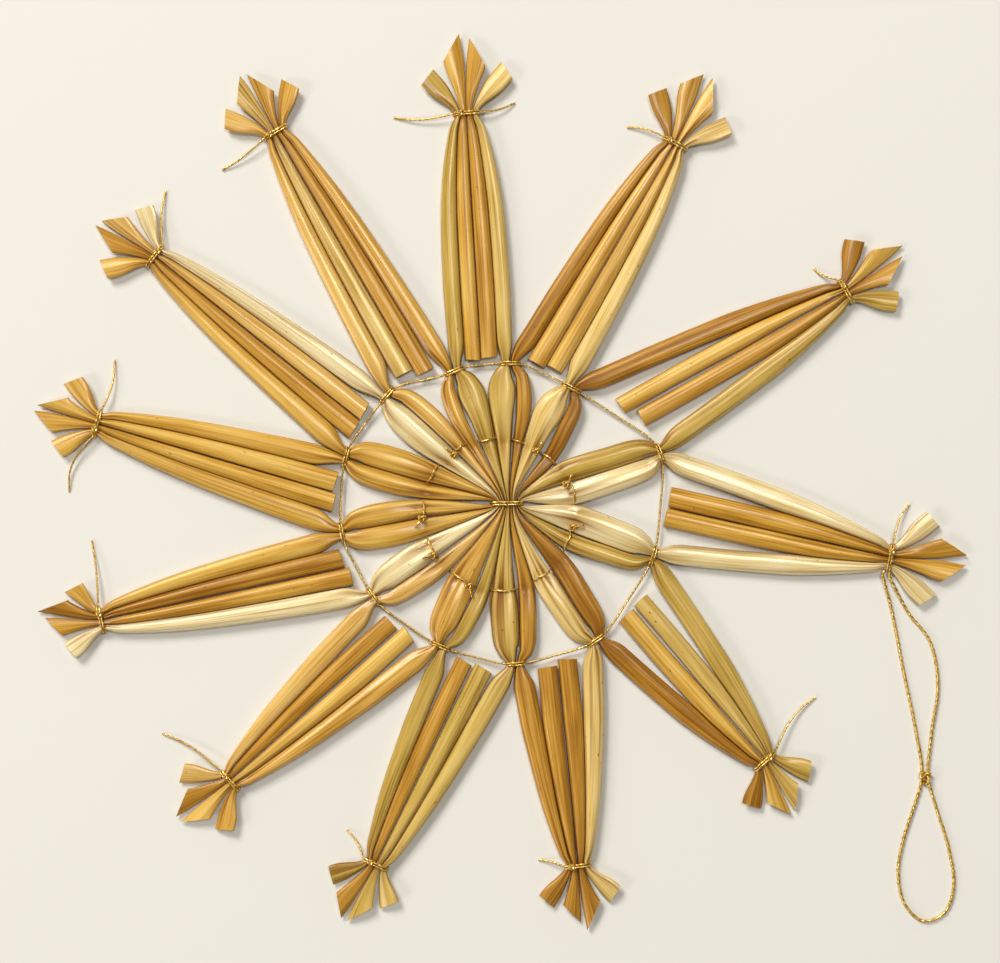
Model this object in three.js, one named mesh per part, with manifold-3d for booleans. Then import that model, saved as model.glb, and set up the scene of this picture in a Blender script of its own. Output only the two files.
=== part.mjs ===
// A twelve-pointed straw star tied with gold thread, lying flat. Millimetres, +Z up.
// Twelve long straws run side by side under the thread at the centre and fan out above and below it.
// Each petal is two of their arms, tied together in a knot. At the knot the arms part, and each joins an
// arm of the next petal and two short straws in a long spindle, tied near its tip and fanned beyond.
import * as THREE from 'three';
import { mergeVertices } from 'three/addons/utils/BufferGeometryUtils.js';
import Module from 'manifold-3d';

// ---- Driving dimensions -----------------------------------------------------------------------------
const FULL_HEIGHT = 1.6; // a straw where it stands free, slightly flattened
const PINCHED_HEIGHT = 0.9; // the same straw under a thread
const BLADE_HEIGHT = 0.75; // pressed flat at the cut end of a fan
const SHOULDER_HEIGHT = 1.5; // just past a knot
const NEAR_TIE_HEIGHT = 1.3; // just inside a tip tie
const FANNING_HEIGHT = 1.2; // where the arms fan out from the centre
const PETAL_STRAW_WIDTH = 2.9;
const OUTER_STRAW_WIDTH = 2.6;
const SHORT_STRAW_WIDTH = 2.4;
const BLADE_WIDTH = 2.6;
const WIDTH_SPREAD = 0.2; // that a straw may be wider or narrower than most
const BLADE_LENGTH_SPREAD = 0.5;
const GAP = 0.12; // air between neighbouring straws

const CENTRE_PITCH = 0.31; // between the long straws under the centre tie
const CENTRE_STRAIGHT = 0.3; // half the stretch where they run parallel
const CENTRE_FAN = 1.8; // how soon they have fanned out to their bearings
const RING_RADIUS = 9.5; // of the thread woven through the arms
const RING_CENTRE = new THREE.Vector2(-1.2, -1.6); // it lies a little off the star's centre
const RING_GAP = 0.8; // air that this thread needs between two arms
const KNOT_PITCH = 1.1; // between the two arms in a knot
const TIE_PITCH = 0.75; // between the four straws in a tip tie
const SPINDLE_HALF_WIDTH = 3.2; // from a spindle's middle line to its outer straws, halfway along
const LEAST_BULGE = 0.6; // of an outer straw beyond the straight line from knot to tie
const INNER_SPREAD = 1.3; // from a spindle's middle line to its short straws, at most
const SHORT_END_GAP = 0.5; // from the knot thread to the cut end of a short straw, at least
const SHORT_END_SPREAD = 0.3;
// The blades of a fan: degrees from its line, share of its length, and slant of the cut in degrees, so that
// the two inner blades end in an arrowhead and the two outer ones stand off beside it.
const OUTER_BLADE = { turn: 38, share: 0.8, slant: 12 };
const INNER_BLADE = { turn: 9, share: 1, slant: 48 };

// Places along a straw where its shape changes.
const FANNING = [0.09, 0.25]; // shares of the way from the centre to the woven ring
const PETAL_BELLY = 0.45; // share of the way from the ring to the knot
const PETAL_SHOULDER = { before: 1.7, spread: 0.75 }; // distance before the knot, and share of its spread
const PETAL_SHOULDER_WIDTH = 0.79; // share of the arm's width
const SPINDLE = { knotShoulder: 0.88, belly: 0.65, waist: 0.3, tieShoulder: 0.06 }; // shares, tie to knot

const THREAD = 0.24; // thickness of the tying thread
const THREAD_SLACK = 0.1; // between a tie and the straws in it
const KNOT_SLACK = 0.32; // the same, where the arms part
const TIP_SLACK = 0.42; // and where the blades fan out
const TIE_LENGTH = 0.36; // along the straws, two turns of thread
const LOOP_DIAMETER = 0.45; // twisted thread of the hanging loop
const LOOP_STEPS = 74;
const LOOP_START_GAP = 0.3; // from the tie that it is knotted into
const LOOP_LIFT = 0.05; // of the thread above the floor

// The petals, clockwise from the top: the bearing of the knot in degrees, its distance from the centre,
// and the share by which the anticlockwise arm is wider than the other.
const PETALS = [
  { bearing: 89, reach: 17.6, split: 0.3 },
  { bearing: 61, reach: 16.6, split: 0.3 },
  { bearing: 18, reach: 20.2, split: 0 },
  { bearing: -20, reach: 19.5, split: 0.25 },
  { bearing: -57, reach: 20.5, split: 0 },
  { bearing: -87, reach: 20.2, split: -0.25 },
  { bearing: -115, reach: 19.8, split: -0.3 },
  { bearing: -145, reach: 20.5, split: -0.2 },
  { bearing: -170, reach: 21.1, split: 0 },
  { bearing: -196, reach: 21.1, split: -0.1 },
  { bearing: -222, reach: 20.3, split: 0.2 },
  { bearing: -248, reach: 17.9, split: -0.25 },
];

// The points, clockwise from the top: the bearing of the tie, its distance from the centre, the length of
// the fan's inner blades and how far the fan is turned from the spindle's line. Each point stands between the petal before
// it in the list and the petal of its own number.
const POINTS = [
  { bearing: 96, reach: 49.3, fan: 8.0, turn: -2 },
  { bearing: 65, reach: 49.9, fan: 8.0, turn: 4 },
  { bearing: 32, reach: 50.2, fan: 7.0, turn: 6 },
  { bearing: -8, reach: 48.6, fan: 8.2, turn: 10 },
  { bearing: -45, reach: 45.8, fan: 6.2, turn: -12 },
  { bearing: -79, reach: 46.4, fan: 6.4, turn: 0 },
  { bearing: -110, reach: 48.3, fan: 6.4, turn: -4 },
  { bearing: -135, reach: 49.3, fan: 6.8, turn: -5 },
  { bearing: -164, reach: 53.1, fan: 5.8, turn: -16 },
  { bearing: -191, reach: 52.5, fan: 6.6, turn: 2 },
  { bearing: -215, reach: 54.1, fan: 6.6, turn: 8 },
  { bearing: -238, reach: 55.0, fan: 6.8, turn: -1 },
];
const COUNT = PETALS.length;

// The hanging loop's route on the floor, from the tie of LOOP_POINT round the loop and back to it.
// Millimetres from the star's centre.
const LOOP_POINT = 3;
const LOOP_ROUTE = [
  [48.4, -13.6], [49.8, -20.8], [51.3, -28.0], [52.2, -34.4],
  [51.2, -38.2], [49.9, -42.2], [49.2, -46.4], [50.0, -50.4], [52.4, -52.6],
  [55.0, -51.6], [56.2, -48.2], [55.6, -43.6], [54.1, -38.6], [53.0, -34.6],
  [53.4, -29.0], [54.2, -22.8], [53.2, -17.4], [50.5, -13.8],
];
const LOOP_KNOT = { x: 52.6, y: -34.5, length: 2.2, width: 1.9, height: 1.1 };

const STRAW_SHADES = ['#d6a44c', '#c79f4b', '#cdae6c', '#dcae58', '#bd8d41', '#d4b684'];
const THREAD_COLOUR = '#c9962f';

// ---- Small helpers ----------------------------------------------------------------------------------
const UP = new THREE.Vector3(0, 0, 1);
const MIDDLE = FULL_HEIGHT / 2;

function towards(bearing) {
  const angle = THREE.MathUtils.degToRad(bearing);
  return new THREE.Vector2(Math.cos(angle), Math.sin(angle));
}

function leftOf(direction) {
  return new THREE.Vector2(-direction.y, direction.x);
}

function mix(from, to, share) {
  return from.clone().lerp(to, share);
}

// A number from -1 to 1 that differs from straw to straw and is the same each time.
function vary(index, kind) {
  const wave = Math.sin(index * 12.9898 + kind * 78.233) * 43758.5453;
  return (wave - Math.floor(wave)) * 2 - 1;
}

function twoDigits(number) {
  return String(number).padStart(2, '0');
}

// ---- Layout: where each straw runs --------------------------------------------------------------------
// A station is a place on a straw's middle line, with its free half width, its height, the air it keeps and
// how far a cut there runs on for each millimetre to the left.
function station(at, width, height, gap = GAP, slant = 0) {
  return { at, free: width / 2, height, gap, slant };
}

function knotOf(petal) {
  return towards(PETALS[petal].bearing).multiplyScalar(PETALS[petal].reach);
}

// side is +1 for the petal's anticlockwise arm and -1 for the clockwise one.
function armAtKnot(petal, side) {
  const across = leftOf(towards(PETALS[petal].bearing));
  return knotOf(petal).addScaledVector(across, side * KNOT_PITCH / 2);
}

function spindleOf(point) {
  const tie = towards(POINTS[point].bearing).multiplyScalar(POINTS[point].reach);
  const leftKnot = armAtKnot((point + COUNT - 1) % COUNT, -1);
  const rightKnot = armAtKnot(point, 1);
  const base = mix(leftKnot, rightKnot, 0.5);
  const axis = tie.clone().sub(base).normalize();
  const left = leftOf(axis);
  const knotSpread = Math.abs(leftKnot.clone().sub(rightKnot).dot(left)) / 2;
  const tieSpread = TIE_PITCH * 1.5;
  const bulge = Math.max(LEAST_BULGE, SPINDLE_HALF_WIDTH - (tieSpread + knotSpread) / 2);
  return { tie, base, axis, left, leftKnot, rightKnot, knotSpread, tieSpread, bulge };
}

// How far an outer straw stands out past the straight line, a share of the way from the tie to the knot.
function bulgeAt(spindle, share) {
  return spindle.bulge * Math.sin(Math.PI * share ** 0.7);
}

function outerPlace(spindle, side, share) {
  const tied = spindle.tie.clone().addScaledVector(spindle.left, side * spindle.tieSpread);
  const knot = side > 0 ? spindle.leftKnot : spindle.rightKnot;
  return mix(tied, knot, share).addScaledVector(spindle.left, side * bulgeAt(spindle, share));
}

function innerSpread(spindle, share) {
  const outer = THREE.MathUtils.lerp(spindle.tieSpread, spindle.knotSpread, share);
  return Math.min((outer + bulgeAt(spindle, share)) / 3, INNER_SPREAD);
}

function innerPlace(spindle, side, share) {
  const middle = mix(spindle.tie, spindle.base, share);
  return middle.addScaledVector(spindle.left, side * innerSpread(spindle, share));
}

// The cut end of one blade of a fan: it leaves the tie where its straw does, and is longest nearest the
// fan's line.
function bladeEnd(point, side, spread, blade, index) {
  const spindle = spindleOf(point);
  const line = THREE.MathUtils.radToDeg(spindle.axis.angle()) + POINTS[point].turn;
  const length = POINTS[point].fan * blade.share + BLADE_LENGTH_SPREAD * vary(index, 1);
  const at = spindle.tie.clone()
    .addScaledVector(spindle.left, side * spread)
    .addScaledVector(towards(line + side * blade.turn), length);
  const slant = -side * Math.tan(THREE.MathUtils.degToRad(blade.slant));
  return station(at, BLADE_WIDTH, BLADE_HEIGHT, GAP, slant);
}

// The thread between two knots, as the two places where it meets them.
const KNOT_TIE_HALF_WIDTH = KNOT_PITCH + KNOT_SLACK;
function threadAtKnot(petal, side) {
  const across = leftOf(towards(PETALS[petal].bearing));
  return knotOf(petal).addScaledVector(across, side * (KNOT_TIE_HALF_WIDTH + THREAD / 2));
}

// How far out the woven ring crosses a line from the star's centre.
function ringDistance(outward) {
  const aside = outward.dot(RING_CENTRE);
  return aside + Math.sqrt(RING_RADIUS ** 2 - RING_CENTRE.lengthSq() + aside ** 2);
}

// How much room an arm has beside its petal's line, as a share of its distance from the centre.
function roomBeside(petal, side) {
  const turn = Math.abs(PETALS[(petal - side + COUNT) % COUNT].bearing - PETALS[petal].bearing);
  return Math.tan(THREE.MathUtils.degToRad(Math.min(turn, 360 - turn) / 2));
}

// One arm of a long straw, from beside the centre to the cut end of its blade.
function armStations(petal, side, start, half) {
  const { bearing, reach, split } = PETALS[petal];
  const outward = towards(bearing);
  const across = leftOf(outward);
  const width = PETAL_STRAW_WIDTH * (1 + side * split);
  const shoulder = width * PETAL_SHOULDER_WIDTH;
  const offset = PETAL_STRAW_WIDTH / 2 * (1 - side * split);
  const inPetal = (distance, share) => {
    const crowded = Math.min(1, distance * roomBeside(petal, side) / PETAL_STRAW_WIDTH);
    const aside = THREE.MathUtils.lerp(KNOT_PITCH / 2, offset * crowded, share);
    return outward.clone().multiplyScalar(distance).addScaledVector(across, side * aside);
  };
  const ring = ringDistance(outward);
  const onRing = inPetal(ring, 1);
  const fanned = (share) => onRing.clone().multiplyScalar(share).add(new THREE.Vector2(
    start * Math.exp(-share * ring / CENTRE_FAN),
    half * CENTRE_STRAIGHT * (1 - share)));
  const point = side > 0 ? petal : (petal + 1) % COUNT;
  const spindle = spindleOf(point);
  const index = petal * 2 + (side + 1) / 2;
  const outer = OUTER_STRAW_WIDTH + WIDTH_SPREAD * vary(index, 2);
  const belly = THREE.MathUtils.lerp(ring, reach, PETAL_BELLY);
  const cut = bladeEnd(point, -side, spindle.tieSpread, OUTER_BLADE, index);
  return [
    station(new THREE.Vector2(start, half * CENTRE_STRAIGHT), width, PINCHED_HEIGHT),
    station(fanned(FANNING[0]), width, PINCHED_HEIGHT),
    station(fanned(FANNING[1]), width, FANNING_HEIGHT),
    station(onRing, width, PINCHED_HEIGHT, RING_GAP),
    station(inPetal(belly, 1), width, FULL_HEIGHT),
    station(inPetal(reach - PETAL_SHOULDER.before, PETAL_SHOULDER.spread), shoulder, SHOULDER_HEIGHT),
    station(armAtKnot(petal, side), KNOT_PITCH, PINCHED_HEIGHT),
    station(outerPlace(spindle, -side, SPINDLE.knotShoulder), outer, SHOULDER_HEIGHT),
    station(outerPlace(spindle, -side, SPINDLE.belly), outer, FULL_HEIGHT),
    station(outerPlace(spindle, -side, SPINDLE.waist), outer, FULL_HEIGHT),
    station(outerPlace(spindle, -side, SPINDLE.tieShoulder), outer, NEAR_TIE_HEIGHT),
    station(outerPlace(spindle, -side, 0), outer, PINCHED_HEIGHT),
    cut,
  ];
}

// A short straw, from its free cut end beside the knot thread to the cut end of its blade.
function shortStations(point, side, index) {
  const spindle = spindleOf(point);
  const threadFrom = threadAtKnot((point + COUNT - 1) % COUNT, -1);
  const threadTo = threadAtKnot(point, 1);
  const threadLine = threadFrom.clone().sub(threadTo).normalize();
  const slant = Math.abs(threadLine.dot(spindle.axis) / threadLine.dot(spindle.left));
  const aside = side * innerSpread(spindle, SPINDLE.knotShoulder);
  const clear = SHORT_END_GAP + SHORT_STRAW_WIDTH / 2 * slant + SHORT_END_SPREAD * (1 + vary(index, 3));
  const middle = mix(threadFrom, threadTo, 0.5);
  const toAxis = aside - middle.clone().sub(spindle.base).dot(spindle.left);
  const end = middle.addScaledVector(threadLine, toAxis / threadLine.dot(spindle.left))
    .addScaledVector(spindle.axis, clear);
  const width = SHORT_STRAW_WIDTH + WIDTH_SPREAD * vary(index, 4);
  const cut = bladeEnd(point, side, TIE_PITCH / 2, INNER_BLADE, index + COUNT * 2);
  return [
    station(end, width, FULL_HEIGHT),
    station(innerPlace(spindle, side, SPINDLE.belly), width, FULL_HEIGHT),
    station(innerPlace(spindle, side, SPINDLE.waist), width, FULL_HEIGHT),
    station(innerPlace(spindle, side, SPINDLE.tieShoulder), width, NEAR_TIE_HEIGHT),
    station(innerPlace(spindle, side, 0), width, PINCHED_HEIGHT),
    cut,
  ];
}

// Long straw number k from the left: it runs from an upper petal, under the centre tie, to a lower petal.
function longArms(k) {
  const start = (k - (COUNT - 1) / 2) * CENTRE_PITCH;
  const pair = Math.floor(k / 2);
  const side = k % 2 === 0 ? 1 : -1;
  const upper = armStations((COUNT - 3 + pair) % COUNT, side, start, 1);
  const lower = armStations(COUNT - 4 - pair, -side, start, -1);
  return [upper, lower];
}

// ---- Squeezing: a straw is as wide as its neighbours let it be -----------------------------------------
function nearestOn(line, place) {
  let best = { distance: Infinity, free: 0 };
  for (let i = 1; i < line.length; i++) {
    const from = line[i - 1];
    const run = line[i].at.clone().sub(from.at);
    const share = THREE.MathUtils.clamp(place.clone().sub(from.at).dot(run) / run.lengthSq(), 0, 1);
    const distance = mix(from.at, line[i].at, share).distanceTo(place);
    if (distance < best.distance) {
      best = { distance, free: THREE.MathUtils.lerp(from.free, line[i].free, share) };
    }
  }
  return best;
}

function squeeze(lines) {
  for (const line of lines) {
    for (const stop of line) {
      stop.half = stop.free;
      for (const other of lines) {
        if (other === line) continue;
        const near = nearestOn(other, stop.at);
        const room = (near.distance - stop.gap) * stop.free / (stop.free + near.free);
        stop.half = Math.min(stop.half, room);
      }
    }
  }
}

const arms = Array.from({ length: COUNT }, (_, k) => longArms(k));
const shorts = Array.from({ length: COUNT * 2 }, (_, i) => shortStations(i >> 1, i % 2 ? -1 : 1, i));
squeeze([...arms.flat(), ...shorts]);

// ---- Solids ---------------------------------------------------------------------------------------
// The section of a straw, two units wide and high, flat above and below.
const FLAT_SHARE = 0.45; // of the half width
const SIDE_SHARE = 0.4; // of the half height
const SECTION = new THREE.Shape([
  [FLAT_SHARE, 1], [-FLAT_SHARE, 1], [-1, SIDE_SHARE], [-1, -SIDE_SHARE],
  [-FLAT_SHARE, -1], [FLAT_SHARE, -1], [1, -SIDE_SHARE], [1, SIDE_SHARE],
].map(([x, y]) => new THREE.Vector2(x, y)));

// A straight blank with one step for each stretch of the straw, bent and pressed to its stations.
function strawGeometry(stations) {
  const last = stations.length - 1;
  const sides = stations.map((stop, i) => {
    const before = i > 0 ? stop.at.clone().sub(stations[i - 1].at).normalize() : null;
    const after = i < last ? stations[i + 1].at.clone().sub(stop.at).normalize() : null;
    const direction = (before ?? after).clone().add(after ?? before).normalize();
    return leftOf(direction).divideScalar(direction.dot(before ?? after))
      .addScaledVector(direction, stop.slant);
  });
  const blank = new THREE.ExtrudeGeometry(SECTION, { steps: last, depth: last, bevelEnabled: false });
  const position = blank.attributes.position;
  for (let v = 0; v < position.count; v++) {
    const i = Math.round(position.getZ(v));
    const place = stations[i].at.clone().addScaledVector(sides[i], position.getX(v) * stations[i].half);
    position.setXYZ(v, place.x, place.y, MIDDLE + position.getY(v) * stations[i].height / 2);
  }
  return blank;
}

// A few turns of thread round flat straws, as one band, wound across the direction it is given.
function bandGeometry(halfWidth, at, direction) {
  const halfHeight = PINCHED_HEIGHT / 2 + THREAD_SLACK;
  const outerX = halfWidth + THREAD;
  const outerY = halfHeight + THREAD;
  const outline = new THREE.Shape([
    [outerX, outerY], [-outerX, outerY], [-outerX, -outerY], [outerX, -outerY],
  ].map(([x, y]) => new THREE.Vector2(x, y)));
  outline.holes.push(new THREE.Path([
    [halfWidth, halfHeight], [-halfWidth, halfHeight], [-halfWidth, -halfHeight], [halfWidth, -halfHeight],
  ].map(([x, y]) => new THREE.Vector2(x, y))));
  const band = new THREE.ExtrudeGeometry(outline, { depth: TIE_LENGTH, bevelEnabled: false });
  const along = new THREE.Vector3(direction.x, direction.y, 0);
  const turn = new THREE.Matrix4().makeBasis(new THREE.Vector3().crossVectors(UP, along), UP, along);
  band.translate(0, 0, -TIE_LENGTH / 2).applyMatrix4(turn).translate(at.x, at.y, MIDDLE);
  return band;
}

function centreTieGeometry() {
  const halfWidth = COUNT / 2 * CENTRE_PITCH + THREAD_SLACK / 2;
  return bandGeometry(halfWidth, new THREE.Vector2(), new THREE.Vector2(0, 1));
}

// The thread woven through the arms: over one and under the next, round the ring.
function wovenRingGeometry() {
  const crossings = arms.flat()
    .map((line) => ({ at: line[3].at, half: line[3].half, angle: line[3].at.angle() }))
    .sort((a, b) => a.angle - b.angle);
  const lift = (PINCHED_HEIGHT + THREAD + THREAD_SLACK) / 2;
  const route = crossings.flatMap(({ at, half }, i) => [-1, 1].map((end) => {
    const place = at.clone().addScaledVector(leftOf(at).normalize(), end * FLAT_SHARE * half);
    return { place, height: MIDDLE + (i % 2 ? -lift : lift) };
  }));
  const ring = new THREE.TorusGeometry(1, THREAD / 2, 4, route.length);
  const position = ring.attributes.position;
  const flat = new THREE.Vector2();
  for (let v = 0; v < position.count; v++) {
    flat.set(position.getX(v), position.getY(v));
    const stop = route[Math.round(flat.angle() / (2 * Math.PI) * route.length) % route.length];
    const reach = stop.place.length() + flat.length() - 1;
    flat.copy(stop.place).setLength(reach);
    position.setXYZ(v, flat.x, flat.y, stop.height + position.getZ(v));
  }
  return ring;
}

function barGeometry(from, to) {
  const bar = new THREE.BoxGeometry(from.distanceTo(to), THREAD, THREAD);
  const middle = mix(from, to, 0.5);
  return bar.rotateZ(to.clone().sub(from).angle()).translate(middle.x, middle.y, MIDDLE);
}

const wasm = await Module();
wasm.setup();

function solidOf(geometry) {
  const bare = geometry.clone();
  bare.deleteAttribute('normal');
  bare.deleteAttribute('uv');
  const merged = mergeVertices(bare, 1e-5);
  return new wasm.Manifold(new wasm.Mesh({
    numProp: 3,
    vertProperties: new Float32Array(merged.attributes.position.array),
    triVerts: new Uint32Array(merged.index.array),
  }));
}

function joined(geometries) {
  const mesh = geometries.map(solidOf).reduce((whole, piece) => whole.add(piece)).getMesh();
  const geometry = new THREE.BufferGeometry();
  geometry.setAttribute('position', new THREE.BufferAttribute(mesh.vertProperties, 3));
  geometry.setIndex(new THREE.BufferAttribute(mesh.triVerts, 1));
  return geometry;
}

// The thread that ties each petal and runs on, straight, to the next.
function knotThreadGeometry() {
  const bands = PETALS.map(({ bearing }, petal) =>
    bandGeometry(KNOT_TIE_HALF_WIDTH, knotOf(petal), towards(bearing)));
  const bars = PETALS.map((_, petal) =>
    barGeometry(threadAtKnot(petal, -1), threadAtKnot((petal + 1) % COUNT, 1)));
  return joined([...bands, ...bars]);
}

const TIP_TIE_HALF_WIDTH = TIE_PITCH * 2 + TIP_SLACK;
function tipTieGeometry(point) {
  const { tie, axis } = spindleOf(point);
  return bandGeometry(TIP_TIE_HALF_WIDTH, tie, axis);
}

// The hanging loop leaves the side of its tip tie, lies on the floor and comes back to it.
function hangingLoopGeometry() {
  const { tie, axis, left } = spindleOf(LOOP_POINT);
  const beside = -(TIP_TIE_HALF_WIDTH + THREAD + LOOP_START_GAP);
  const ends = [-LOOP_DIAMETER, LOOP_DIAMETER].map((shift) => tie.clone().addScaledVector(left, beside)
    .addScaledVector(axis, shift));
  const floor = LOOP_DIAMETER / 2 + LOOP_LIFT;
  const lifted = ends.map((end) => new THREE.Vector3(end.x, end.y, MIDDLE));
  const route = LOOP_ROUTE.map(([x, y]) => new THREE.Vector3(x, y, floor));
  const curve = new THREE.CatmullRomCurve3([lifted[0], ...route, lifted[1]]);
  const round = new THREE.Shape(Array.from({ length: 8 }, (_, i) => towards((i + 0.5) * 45)
    .multiplyScalar(LOOP_DIAMETER / 2)));
  const thread = new THREE.ExtrudeGeometry(round, { steps: LOOP_STEPS, extrudePath: curve });
  const knot = new THREE.IcosahedronGeometry(0.5, 1);
  knot.scale(LOOP_KNOT.width, LOOP_KNOT.length, LOOP_KNOT.height);
  knot.translate(LOOP_KNOT.x, LOOP_KNOT.y, LOOP_KNOT.height / 2);
  return joined([thread, knot]);
}

// ---- The star ---------------------------------------------------------------------------------------
const star = new THREE.Group();

function addPiece(name, geometry, finish) {
  const mesh = new THREE.Mesh(geometry, new THREE.MeshStandardMaterial(finish));
  mesh.name = name;
  star.add(mesh);
}

function addStraw(name, stations, shade) {
  const color = STRAW_SHADES[shade % STRAW_SHADES.length];
  addPiece(name, strawGeometry(stations), { color, roughness: 0.42, metalness: 0 });
}

function addThread(name, geometry) {
  addPiece(name, geometry, { color: THREAD_COLOUR, roughness: 0.35, metalness: 0.9 });
}

arms.forEach(([upper, lower], k) => {
  addStraw(`straw_long_${twoDigits(k + 1)}`, [...upper.toReversed(), ...lower], k);
});
shorts.forEach((stations, i) => {
  addStraw(`straw_short_${twoDigits(i + 1)}`, stations, i + 3);
});
addThread('centre_tie', centreTieGeometry());
addThread('inner_ring_thread', wovenRingGeometry());
addThread('knot_ring_thread', knotThreadGeometry());
POINTS.forEach((_, point) => {
  addThread(`tip_tie_${twoDigits(point + 1)}`, tipTieGeometry(point));
});

// The origin is at the middle of the star's box, on the surface it lies on. The loop lies beside it.
const box = new THREE.Box3().setFromObject(star);
const middle = box.getCenter(new THREE.Vector3());
addThread('hanging_loop', hangingLoopGeometry());
for (const piece of star.children) {
  piece.position.set(-middle.x, -middle.y, -box.min.z);
}

export default star;
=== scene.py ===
import math
from collections import namedtuple

import bpy
import numpy as np
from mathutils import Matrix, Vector


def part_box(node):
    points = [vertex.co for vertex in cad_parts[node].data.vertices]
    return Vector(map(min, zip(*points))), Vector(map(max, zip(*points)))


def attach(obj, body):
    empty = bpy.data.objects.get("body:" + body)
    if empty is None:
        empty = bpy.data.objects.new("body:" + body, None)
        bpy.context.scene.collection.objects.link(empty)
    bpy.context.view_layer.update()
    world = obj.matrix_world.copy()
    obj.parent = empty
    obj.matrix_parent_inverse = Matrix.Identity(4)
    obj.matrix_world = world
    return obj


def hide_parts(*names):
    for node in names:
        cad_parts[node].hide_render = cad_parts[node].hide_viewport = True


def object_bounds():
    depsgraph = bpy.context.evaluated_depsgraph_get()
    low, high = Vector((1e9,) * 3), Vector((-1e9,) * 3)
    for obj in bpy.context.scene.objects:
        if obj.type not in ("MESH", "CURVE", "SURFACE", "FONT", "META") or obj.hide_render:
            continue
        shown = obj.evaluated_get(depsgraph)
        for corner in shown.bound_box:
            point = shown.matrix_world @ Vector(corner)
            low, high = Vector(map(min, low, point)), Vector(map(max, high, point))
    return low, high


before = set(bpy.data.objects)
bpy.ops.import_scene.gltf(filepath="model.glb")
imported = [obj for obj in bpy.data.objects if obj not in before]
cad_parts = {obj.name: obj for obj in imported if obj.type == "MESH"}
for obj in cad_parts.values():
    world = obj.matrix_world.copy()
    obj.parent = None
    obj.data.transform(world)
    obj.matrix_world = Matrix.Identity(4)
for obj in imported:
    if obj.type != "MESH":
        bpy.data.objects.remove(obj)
cad_low, cad_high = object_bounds()

# A twelve-pointed straw star tied with gold thread, lying flat. The layout below is in millimetres from the
# star's centre, with heights above the floor, and repeats the driving dimensions of the solids.
MM = 0.001

# ---- Driving dimensions ------------------------------------------------------------------------------
FULL_HEIGHT = 1.6
PINCHED_HEIGHT = 0.9
BLADE_HEIGHT = 0.75
SHOULDER_HEIGHT = 1.5
NEAR_TIE_HEIGHT = 1.3
FANNING_HEIGHT = 1.2
PETAL_STRAW_WIDTH = 2.9
OUTER_STRAW_WIDTH = 2.6
SHORT_STRAW_WIDTH = 2.4
BLADE_WIDTH = 2.6
WIDTH_SPREAD = 0.2
BLADE_LENGTH_SPREAD = 0.5
TOUCHING = 0.03  # air left between straws that press on each other

CENTRE_PITCH = 0.31
CENTRE_STRAIGHT = 0.3  # where a long straw leaves the middle of the centre tie
CENTRE_FAN = 1.8  # length over which its place in the tie fades into its petal
RING_RADIUS = 9.5
RING_CENTRE = (-1.2, -1.6)
KNOT_PITCH = 1.1
TIE_PITCH = 0.75
SPINDLE_HALF_WIDTH = 3.2
LEAST_BULGE = 0.6
BULGE_LEAN = 0.7  # less puts a spindle's widest place nearer its tie
INNER_SPREAD = 1.3
SHORT_END_GAP = 0.5
SHORT_END_SPREAD = 0.3
FANNING = (0.09, 0.25)  # shares of the way from the centre to the woven ring
PETAL_BELLY = 0.45  # share of the way from the woven ring to the knot
PETAL_SHOULDER_BEFORE = 1.7  # before the knot
PETAL_SHOULDER_SPREAD = 0.75  # share of an arm's free distance from its petal's line
KNOT_SHOULDER_SHARE = 0.88  # this and the next three: shares of a spindle, from its tie inwards
BELLY_SHARE = 0.65
WAIST_SHARE = 0.3
TIE_SHOULDER_SHARE = 0.06

THREAD = 0.24
KNOT_SLACK = 0.32  # from the pitch of its straws to the thread of a knot
TIP_SLACK = 0.42  # the same at a tip tie
LOOP_DIAMETER = 0.45
LOOP_START_GAP = 0.3
LOOP_LIFT = 0.05

Petal = namedtuple("Petal", "bearing reach split")
PETALS = [
    Petal(89, 17.6, 0.3),
    Petal(61, 16.6, 0.3),
    Petal(18, 20.2, 0),
    Petal(-20, 19.5, 0.25),
    Petal(-57, 20.5, 0),
    Petal(-87, 20.2, -0.25),
    Petal(-115, 19.8, -0.3),
    Petal(-145, 20.5, -0.2),
    Petal(-170, 21.1, 0),
    Petal(-196, 21.1, -0.1),
    Petal(-222, 20.3, 0.2),
    Petal(-248, 17.9, -0.25),
]
Point = namedtuple("Point", "bearing reach fan turn")
POINTS = [
    Point(96, 49.3, 8.0, -2),
    Point(65, 49.9, 8.0, 4),
    Point(32, 50.2, 7.0, 6),
    Point(-8, 48.6, 8.2, 10),
    Point(-45, 45.8, 6.2, -12),
    Point(-79, 46.4, 6.4, 0),
    Point(-110, 48.3, 6.4, -4),
    Point(-135, 49.3, 6.8, -5),
    Point(-164, 53.1, 5.8, -16),
    Point(-191, 52.5, 6.6, 2),
    Point(-215, 54.1, 6.6, 8),
    Point(-238, 55.0, 6.8, -1),
]
COUNT = len(PETALS)
MIDDLE = FULL_HEIGHT / 2

Blade = namedtuple("Blade", "turn share slant")
OUTER_BLADE = Blade(38, 0.8, 12)
INNER_BLADE = Blade(9, 1, 48)

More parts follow.
